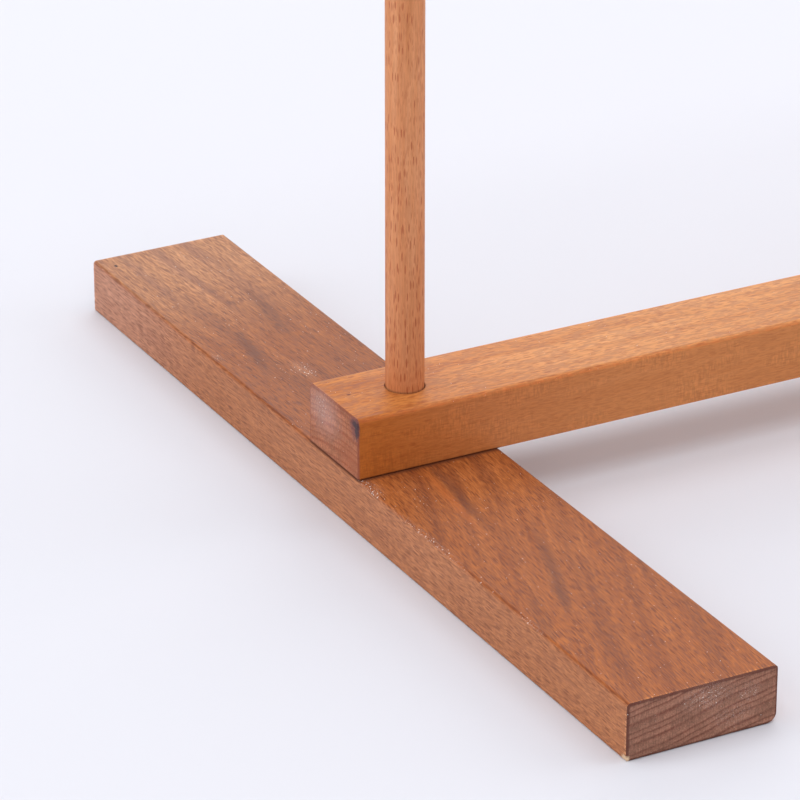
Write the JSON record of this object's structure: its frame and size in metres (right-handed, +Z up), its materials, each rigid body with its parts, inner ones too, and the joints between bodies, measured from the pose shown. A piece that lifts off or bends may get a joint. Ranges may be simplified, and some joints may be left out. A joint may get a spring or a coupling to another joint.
{
  "type": "pasta drying rack",
  "caption": "Knock-down wooden rack: two long feet joined by a stretcher, two round posts and a top beam whose dowel arms stick out to the back and front in turn.",
  "frame": {"origin": "middle of the footprint, on the surface that the feet stand on", "axes": "+X along the stretcher and the beam, +Y along the feet and the arms, +Z up"},
  "size_m": [0.43, 0.35, 0.308],
  "materials": {
    "foot_wood": "oiled red-brown beech, satin, dark streaks along the grain",
    "stretcher_wood": "steamed orange-tan beech, satin, fine grain along the bar",
    "dowel_wood": "salmon-tan beech dowel, satin, short dark flecks along the grain",
    "screw_steel": "bright zinc-plated steel"
  },
  "bodies": {
    "base": {"foot_left": "foot_wood", "foot_right": "foot_wood", "stretcher": "stretcher_wood", "foot_screws": "screw_steel"},
    "posts": {"post_left": "dowel_wood", "post_right": "dowel_wood"},
    "beam": {"top_beam": "stretcher_wood"},
    "arm_back_1": {"arm_back_1": "dowel_wood"},
    "arm_front_1": {"arm_front_1": "dowel_wood"},
    "arm_back_2": {"arm_back_2": "dowel_wood"},
    "arm_front_2": {"arm_front_2": "dowel_wood"},
    "arm_back_3": {"arm_back_3": "dowel_wood"},
    "arm_front_3": {"arm_front_3": "dowel_wood"},
    "arm_back_4": {"arm_back_4": "dowel_wood"},
    "arm_front_4": {"arm_front_4": "dowel_wood"},
    "arm_back_5": {"arm_back_5": "dowel_wood"},
    "arm_front_5": {"arm_front_5": "dowel_wood"},
    "arm_back_6": {"arm_back_6": "dowel_wood"}
  },
  "joints": [
    {"name": "posts_lift", "type": "slide", "parent": "base", "child": "posts", "axis": [0, 0, 1], "range_m": [0, 0.028]},
    {"name": "beam_lift", "type": "slide", "parent": "posts", "child": "beam", "axis": [0, 0, 1], "range_m": [0, 0.012]},
    {"name": "arm_back_1_pull", "type": "slide", "parent": "beam", "child": "arm_back_1", "axis": [0, 1, 0], "range_m": [0, 0.022]},
    {"name": "arm_front_1_pull", "type": "slide", "parent": "beam", "child": "arm_front_1", "axis": [0, -1, 0], "range_m": [0, 0.022]},
    {"name": "arm_back_2_pull", "type": "slide", "parent": "beam", "child": "arm_back_2", "axis": [0, 1, 0], "range_m": [0, 0.022]},
    {"name": "arm_front_2_pull", "type": "slide", "parent": "beam", "child": "arm_front_2", "axis": [0, -1, 0], "range_m": [0, 0.022]},
    {"name": "arm_back_3_pull", "type": "slide", "parent": "beam", "child": "arm_back_3", "axis": [0, 1, 0], "range_m": [0, 0.022]},
    {"name": "arm_front_3_pull", "type": "slide", "parent": "beam", "child": "arm_front_3", "axis": [0, -1, 0], "range_m": [0, 0.022]},
    {"name": "arm_back_4_pull", "type": "slide", "parent": "beam", "child": "arm_back_4", "axis": [0, 1, 0], "range_m": [0, 0.022]},
    {"name": "arm_front_4_pull", "type": "slide", "parent": "beam", "child": "arm_front_4", "axis": [0, -1, 0], "range_m": [0, 0.022]},
    {"name": "arm_back_5_pull", "type": "slide", "parent": "beam", "child": "arm_back_5", "axis": [0, 1, 0], "range_m": [0, 0.022]},
    {"name": "arm_front_5_pull", "type": "slide", "parent": "beam", "child": "arm_front_5", "axis": [0, -1, 0], "range_m": [0, 0.022]},
    {"name": "arm_back_6_pull", "type": "slide", "parent": "beam", "child": "arm_back_6", "axis": [0, 1, 0], "range_m": [0, 0.022]}
  ]
}
